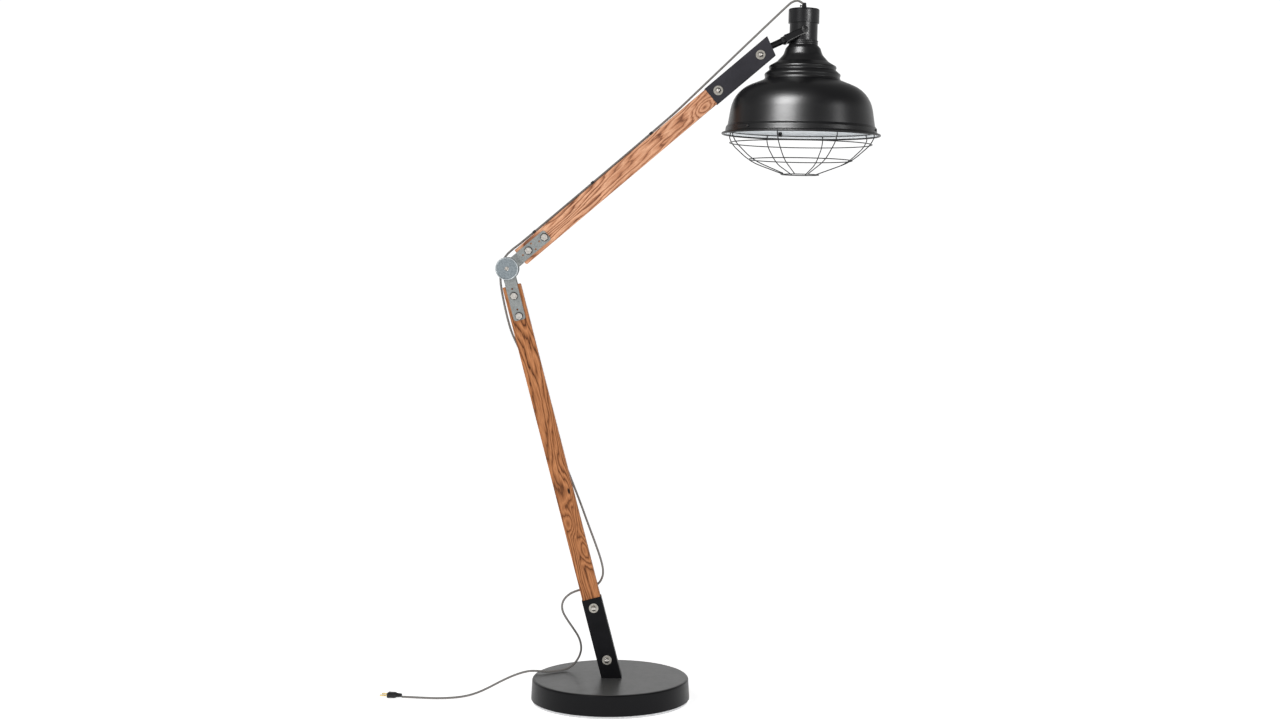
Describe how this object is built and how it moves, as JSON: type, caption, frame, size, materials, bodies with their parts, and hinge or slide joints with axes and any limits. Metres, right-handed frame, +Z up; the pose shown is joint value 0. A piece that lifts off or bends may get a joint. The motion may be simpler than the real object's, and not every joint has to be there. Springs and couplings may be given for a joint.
{
  "type": "adjustable arm floor lamp",
  "caption": "Floor lamp with a round weighted base, leaning timber post, hinged timber arm and a tilting bell-shaped metal shade with a wire guard.",
  "frame": {"origin": "centre of the base's underside, on the floor", "axes": "+Z up, +X towards the shade, -Y towards the front with the acorn nuts"},
  "size_m": [1.2581, 0.4, 1.754],
  "materials": {
    "black_metal": "satin",
    "pad": "matte",
    "ballast": "rough",
    "dark_plate": "satin",
    "post_timber": "oiled",
    "arm_timber": "oiled",
    "zinc": "galvanised",
    "bright_steel": "polished",
    "dark_washer": "satin",
    "black_fastener": "gloss",
    "nylon": "matte",
    "black_plastic": "satin",
    "guard_wire": "satin",
    "brass": "polished",
    "opal_glass": "opal",
    "textile_cord": "woven"
  },
  "bodies": {
    "stand": {"base_cover": "black_metal", "base_ballast": "ballast", "base_bottom_plate": "dark_plate", "base_floor_pad": "pad", "base_plate_screws": "bright_steel", "post_foot_plate": "dark_plate", "post_foot_screws": "bright_steel", "lower_sleeve": "black_metal", "lower_sleeve_bolts": "bright_steel", "lower_sleeve_washers": "bright_steel", "lower_sleeve_cap_nuts": "bright_steel", "lower_beam": "post_timber", "hinge_lower_leaves": "zinc", "hinge_lower_bolts": "bright_steel", "hinge_lower_washers": "dark_washer", "hinge_lower_nuts": "bright_steel", "elbow_axle": "bright_steel", "elbow_spacer": "zinc", "elbow_friction_washers": "nylon", "elbow_cover_discs": "zinc", "cord_post": "textile_cord", "post_cord_clips": "black_plastic", "plug_body": "black_plastic", "plug_pins": "brass"},
    "upper_arm": {"hinge_upper_leaves": "zinc", "hinge_upper_bolts": "bright_steel", "hinge_upper_washers": "dark_washer", "hinge_upper_nuts": "bright_steel", "upper_beam": "arm_timber", "upper_sleeve": "black_metal", "upper_sleeve_bolts": "bright_steel", "upper_sleeve_washers": "bright_steel", "upper_sleeve_cap_nuts": "bright_steel", "stem": "black_metal", "yoke_bolt": "black_fastener", "yoke_lock_nut": "black_fastener", "cord_arm": "textile_cord", "cord_elbow": "textile_cord", "arm_cord_clips": "black_plastic"},
    "yoke": {"yoke": "black_metal", "cord_bridge": "textile_cord"},
    "head": {"pivot_screws": "black_fastener", "pivot_nuts": "black_fastener", "pivot_washers": "nylon", "neck_tube": "black_metal", "neck_cap": "black_metal", "shade": "black_metal", "cord_grip": "black_plastic", "cord_grip_screw": "brass", "lampholder": "black_plastic", "bulb_glass": "opal_glass", "bulb_cap": "brass", "guard_rim_ring": "guard_wire", "guard_upper_ring": "guard_wire", "guard_lower_ring": "guard_wire", "guard_bottom_ring": "guard_wire", "guard_ribs": "guard_wire", "guard_clips": "black_fastener", "guard_clip_screws": "black_fastener", "cord_head": "textile_cord"}
  },
  "joints": [
    {"name": "elbow_hinge", "type": "hinge", "parent": "stand", "child": "upper_arm", "pos_m": [-0.25546, 0, 1.08997], "axis": [0, 1, 0], "range_deg": [-55, 50], "deforming": ["cord_elbow"]},
    {"name": "yoke_swivel", "type": "hinge", "parent": "upper_arm", "child": "yoke", "pos_m": [0.48004, 0, 1.67626], "axis": [0.91, 0, 0.4147], "range_deg": [-20, 20], "deforming": ["cord_bridge"]},
    {"name": "shade_tilt", "type": "hinge", "parent": "yoke", "child": "head", "pos_m": [0.48004, 0, 1.67626], "axis": [0, 1, 0], "range_deg": [-40, 2], "deforming": ["cord_head"]}
  ]
}
